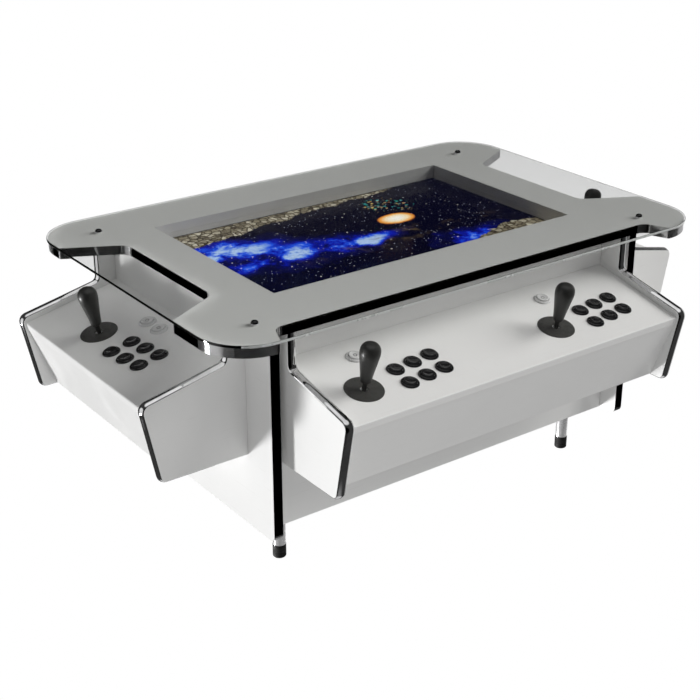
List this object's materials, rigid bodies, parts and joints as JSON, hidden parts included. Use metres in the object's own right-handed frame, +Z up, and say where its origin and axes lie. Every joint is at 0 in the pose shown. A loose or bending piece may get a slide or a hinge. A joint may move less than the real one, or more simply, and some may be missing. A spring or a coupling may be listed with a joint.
{
  "type": "cocktail table arcade cabinet",
  "caption": "Low glass-topped games table with a flat screen, and sloping control boxes with joysticks and push buttons on the front and both ends.",
  "frame": {"origin": "on the floor under the middle of the whole cabinet", "axes": "+Z up, -Y is the long side with the control box, -X is the left end as the front players see it"},
  "size_m": [1.2578, 0.8197, 0.52],
  "materials": {
    "white_laminate": "white laminate on board, satin",
    "chrome_trim": "bright chrome",
    "clear_glass": "clear polished glass",
    "display": "dark display face with a lit picture",
    "black_metal": "black painted sheet metal",
    "gloss_black_plastic": "glossy black moulded plastic",
    "satin_black_plastic": "satin black moulded plastic",
    "clear_plastic": "translucent white moulded plastic"
  },
  "bodies": {
    "cabinet": {"glass_top": "clear_glass", "table_top": "white_laminate", "table_top_trim": "chrome_trim", "window_lining": "white_laminate", "monitor": "display", "left_end_panel": "white_laminate", "right_end_panel": "white_laminate", "front_panel": "white_laminate", "back_panel": "white_laminate", "bottom_panel": "white_laminate", "game_computer": "black_metal", "power_supply": "black_metal", "foot_front_left": "chrome_trim", "foot_front_right": "chrome_trim", "foot_back_left": "chrome_trim", "foot_back_right": "chrome_trim", "front_control_box": "white_laminate", "left_control_box": "white_laminate", "right_control_box": "white_laminate", "front_deck": "white_laminate", "left_deck": "white_laminate", "right_deck": "white_laminate"},
    "p1_joystick_gimbal": {"p1_joystick_gimbal": "satin_black_plastic"},
    "p1_joystick": {"p1_joystick": "satin_black_plastic"},
    "p1_button_1": {"p1_button_1": "gloss_black_plastic"},
    "p1_button_2": {"p1_button_2": "gloss_black_plastic"},
    "p1_button_3": {"p1_button_3": "gloss_black_plastic"},
    "p1_button_4": {"p1_button_4": "gloss_black_plastic"},
    "p1_button_5": {"p1_button_5": "gloss_black_plastic"},
    "p1_button_6": {"p1_button_6": "gloss_black_plastic"},
    "p1_start_button": {"p1_start_button": "clear_plastic"},
    "p2_joystick_gimbal": {"p2_joystick_gimbal": "satin_black_plastic"},
    "p2_joystick": {"p2_joystick": "satin_black_plastic"},
    "p2_button_1": {"p2_button_1": "gloss_black_plastic"},
    "p2_button_2": {"p2_button_2": "gloss_black_plastic"},
    "p2_button_3": {"p2_button_3": "gloss_black_plastic"},
    "p2_button_4": {"p2_button_4": "gloss_black_plastic"},
    "p2_button_5": {"p2_button_5": "gloss_black_plastic"},
    "p2_button_6": {"p2_button_6": "gloss_black_plastic"},
    "p2_start_button": {"p2_start_button": "clear_plastic"},
    "p3_joystick_gimbal": {"p3_joystick_gimbal": "satin_black_plastic"},
    "p3_joystick": {"p3_joystick": "satin_black_plastic"},
    "p3_button_1": {"p3_button_1": "gloss_black_plastic"},
    "p3_button_2": {"p3_button_2": "gloss_black_plastic"},
    "p3_button_3": {"p3_button_3": "gloss_black_plastic"},
    "p3_button_4": {"p3_button_4": "gloss_black_plastic"},
    "p3_button_5": {"p3_button_5": "gloss_black_plastic"},
    "p3_button_6": {"p3_button_6": "gloss_black_plastic"},
    "p3_start_button": {"p3_start_button": "clear_plastic"},
    "p3_select_button": {"p3_select_button": "clear_plastic"},
    "p4_joystick_gimbal": {"p4_joystick_gimbal": "satin_black_plastic"},
    "p4_joystick": {"p4_joystick": "satin_black_plastic"},
    "p4_button_1": {"p4_button_1": "gloss_black_plastic"},
    "p4_button_2": {"p4_button_2": "gloss_black_plastic"},
    "p4_button_3": {"p4_button_3": "gloss_black_plastic"},
    "p4_button_4": {"p4_button_4": "gloss_black_plastic"},
    "p4_button_5": {"p4_button_5": "gloss_black_plastic"},
    "p4_button_6": {"p4_button_6": "gloss_black_plastic"},
    "p4_start_button": {"p4_start_button": "clear_plastic"},
    "p4_select_button": {"p4_select_button": "clear_plastic"}
  },
  "joints": [
    {"name": "p1_joystick_forward_back", "type": "hinge", "parent": "cabinet", "child": "p1_joystick_gimbal", "pos_m": [-0.3035, -0.32775, 0.38266], "axis": [1, 0, 0], "range_deg": [-8, 8], "stiffness_Nm_per_rad": 2},
    {"name": "p1_joystick_left_right", "type": "hinge", "parent": "p1_joystick_gimbal", "child": "p1_joystick", "pos_m": [-0.3035, -0.32775, 0.38266], "axis": [0, 0.977, 0.213], "range_deg": [-8, 8], "stiffness_Nm_per_rad": 2},
    {"name": "p1_button_1_press", "type": "slide", "parent": "cabinet", "child": "p1_button_1", "axis": [0, 0.213, -0.977], "range_m": [0, 0.003], "stiffness_N_per_m": 300, "springref_m": -0.002},
    {"name": "p1_button_2_press", "type": "slide", "parent": "cabinet", "child": "p1_button_2", "axis": [0, 0.213, -0.977], "range_m": [0, 0.003], "stiffness_N_per_m": 300, "springref_m": -0.002},
    {"name": "p1_button_3_press", "type": "slide", "parent": "cabinet", "child": "p1_button_3", "axis": [0, 0.213, -0.977], "range_m": [0, 0.003], "stiffness_N_per_m": 300, "springref_m": -0.002},
    {"name": "p1_button_4_press", "type": "slide", "parent": "cabinet", "child": "p1_button_4", "axis": [0, 0.213, -0.977], "range_m": [0, 0.003], "stiffness_N_per_m": 300, "springref_m": -0.002},
    {"name": "p1_button_5_press", "type": "slide", "parent": "cabinet", "child": "p1_button_5", "axis": [0, 0.213, -0.977], "range_m": [0, 0.003], "stiffness_N_per_m": 300, "springref_m": -0.002},
    {"name": "p1_button_6_press", "type": "slide", "parent": "cabinet", "child": "p1_button_6", "axis": [0, 0.213, -0.977], "range_m": [0, 0.003], "stiffness_N_per_m": 300, "springref_m": -0.002},
    {"name": "p1_start_button_press", "type": "slide", "parent": "cabinet", "child": "p1_start_button", "axis": [0, 0.213, -0.977], "range_m": [0, 0.003], "stiffness_N_per_m": 300, "springref_m": -0.002},
    {"name": "p2_joystick_forward_back", "type": "hinge", "parent": "cabinet", "child": "p2_joystick_gimbal", "pos_m": [0.137, -0.32775, 0.38266], "axis": [1, 0, 0], "range_deg": [-8, 8], "stiffness_Nm_per_rad": 2},
    {"name": "p2_joystick_left_right", "type": "hinge", "parent": "p2_joystick_gimbal", "child": "p2_joystick", "pos_m": [0.137, -0.32775, 0.38266], "axis": [0, 0.977, 0.213], "range_deg": [-8, 8], "stiffness_Nm_per_rad": 2},
    {"name": "p2_button_1_press", "type": "slide", "parent": "cabinet", "child": "p2_button_1", "axis": [0, 0.213, -0.977], "range_m": [0, 0.003], "stiffness_N_per_m": 300, "springref_m": -0.002},
    {"name": "p2_button_2_press", "type": "slide", "parent": "cabinet", "child": "p2_button_2", "axis": [0, 0.213, -0.977], "range_m": [0, 0.003], "stiffness_N_per_m": 300, "springref_m": -0.002},
    {"name": "p2_button_3_press", "type": "slide", "parent": "cabinet", "child": "p2_button_3", "axis": [0, 0.213, -0.977], "range_m": [0, 0.003], "stiffness_N_per_m": 300, "springref_m": -0.002},
    {"name": "p2_button_4_press", "type": "slide", "parent": "cabinet", "child": "p2_button_4", "axis": [0, 0.213, -0.977], "range_m": [0, 0.003], "stiffness_N_per_m": 300, "springref_m": -0.002},
    {"name": "p2_button_5_press", "type": "slide", "parent": "cabinet", "child": "p2_button_5", "axis": [0, 0.213, -0.977], "range_m": [0, 0.003], "stiffness_N_per_m": 300, "springref_m": -0.002},
    {"name": "p2_button_6_press", "type": "slide", "parent": "cabinet", "child": "p2_button_6", "axis": [0, 0.213, -0.977], "range_m": [0, 0.003], "stiffness_N_per_m": 300, "springref_m": -0.002},
    {"name": "p2_start_button_press", "type": "slide", "parent": "cabinet", "child": "p2_start_button", "axis": [0, 0.213, -0.977], "range_m": [0, 0.003], "stiffness_N_per_m": 300, "springref_m": -0.002},
    {"name": "p3_joystick_forward_back", "type": "hinge", "parent": "cabinet", "child": "p3_joystick_gimbal", "pos_m": [-0.54685, 0.1449, 0.38266], "axis": [0, -1, 0], "range_deg": [-8, 8], "stiffness_Nm_per_rad": 2},
    {"name": "p3_joystick_left_right", "type": "hinge", "parent": "p3_joystick_gimbal", "child": "p3_joystick", "pos_m": [-0.54685, 0.1449, 0.38266], "axis": [0.977, 0, 0.213], "range_deg": [-8, 8], "stiffness_Nm_per_rad": 2},
    {"name": "p3_button_1_press", "type": "slide", "parent": "cabinet", "child": "p3_button_1", "axis": [0.213, 0, -0.977], "range_m": [0, 0.003], "stiffness_N_per_m": 300, "springref_m": -0.002},
    {"name": "p3_button_2_press", "type": "slide", "parent": "cabinet", "child": "p3_button_2", "axis": [0.213, 0, -0.977], "range_m": [0, 0.003], "stiffness_N_per_m": 300, "springref_m": -0.002},
    {"name": "p3_button_3_press", "type": "slide", "parent": "cabinet", "child": "p3_button_3", "axis": [0.213, 0, -0.977], "range_m": [0, 0.003], "stiffness_N_per_m": 300, "springref_m": -0.002},
    {"name": "p3_button_4_press", "type": "slide", "parent": "cabinet", "child": "p3_button_4", "axis": [0.213, 0, -0.977], "range_m": [0, 0.003], "stiffness_N_per_m": 300, "springref_m": -0.002},
    {"name": "p3_button_5_press", "type": "slide", "parent": "cabinet", "child": "p3_button_5", "axis": [0.213, 0, -0.977], "range_m": [0, 0.003], "stiffness_N_per_m": 300, "springref_m": -0.002},
    {"name": "p3_button_6_press", "type": "slide", "parent": "cabinet", "child": "p3_button_6", "axis": [0.213, 0, -0.977], "range_m": [0, 0.003], "stiffness_N_per_m": 300, "springref_m": -0.002},
    {"name": "p3_start_button_press", "type": "slide", "parent": "cabinet", "child": "p3_start_button", "axis": [0.213, 0, -0.977], "range_m": [0, 0.003], "stiffness_N_per_m": 300, "springref_m": -0.002},
    {"name": "p3_select_button_press", "type": "slide", "parent": "cabinet", "child": "p3_select_button", "axis": [0.213, 0, -0.977], "range_m": [0, 0.003], "stiffness_N_per_m": 300, "springref_m": -0.002},
    {"name": "p4_joystick_forward_back", "type": "hinge", "parent": "cabinet", "child": "p4_joystick_gimbal", "pos_m": [0.54685, 0.0075, 0.38266], "axis": [0, 1, 0], "range_deg": [-8, 8], "stiffness_Nm_per_rad": 2},
    {"name": "p4_joystick_left_right", "type": "hinge", "parent": "p4_joystick_gimbal", "child": "p4_joystick", "pos_m": [0.54685, 0.0075, 0.38266], "axis": [-0.977, 0, 0.213], "range_deg": [-8, 8], "stiffness_Nm_per_rad": 2},
    {"name": "p4_button_1_press", "type": "slide", "parent": "cabinet", "child": "p4_button_1", "axis": [-0.213, 0, -0.977], "range_m": [0, 0.003], "stiffness_N_per_m": 300, "springref_m": -0.002},
    {"name": "p4_button_2_press", "type": "slide", "parent": "cabinet", "child": "p4_button_2", "axis": [-0.213, 0, -0.977], "range_m": [0, 0.003], "stiffness_N_per_m": 300, "springref_m": -0.002},
    {"name": "p4_button_3_press", "type": "slide", "parent": "cabinet", "child": "p4_button_3", "axis": [-0.213, 0, -0.977], "range_m": [0, 0.003], "stiffness_N_per_m": 300, "springref_m": -0.002},
    {"name": "p4_button_4_press", "type": "slide", "parent": "cabinet", "child": "p4_button_4", "axis": [-0.213, 0, -0.977], "range_m": [0, 0.003], "stiffness_N_per_m": 300, "springref_m": -0.002},
    {"name": "p4_button_5_press", "type": "slide", "parent": "cabinet", "child": "p4_button_5", "axis": [-0.213, 0, -0.977], "range_m": [0, 0.003], "stiffness_N_per_m": 300, "springref_m": -0.002},
    {"name": "p4_button_6_press", "type": "slide", "parent": "cabinet", "child": "p4_button_6", "axis": [-0.213, 0, -0.977], "range_m": [0, 0.003], "stiffness_N_per_m": 300, "springref_m": -0.002},
    {"name": "p4_start_button_press", "type": "slide", "parent": "cabinet", "child": "p4_start_button", "axis": [-0.213, 0, -0.977], "range_m": [0, 0.003], "stiffness_N_per_m": 300, "springref_m": -0.002},
    {"name": "p4_select_button_press", "type": "slide", "parent": "cabinet", "child": "p4_select_button", "axis": [-0.213, 0, -0.977], "range_m": [0, 0.003], "stiffness_N_per_m": 300, "springref_m": -0.002}
  ]
}
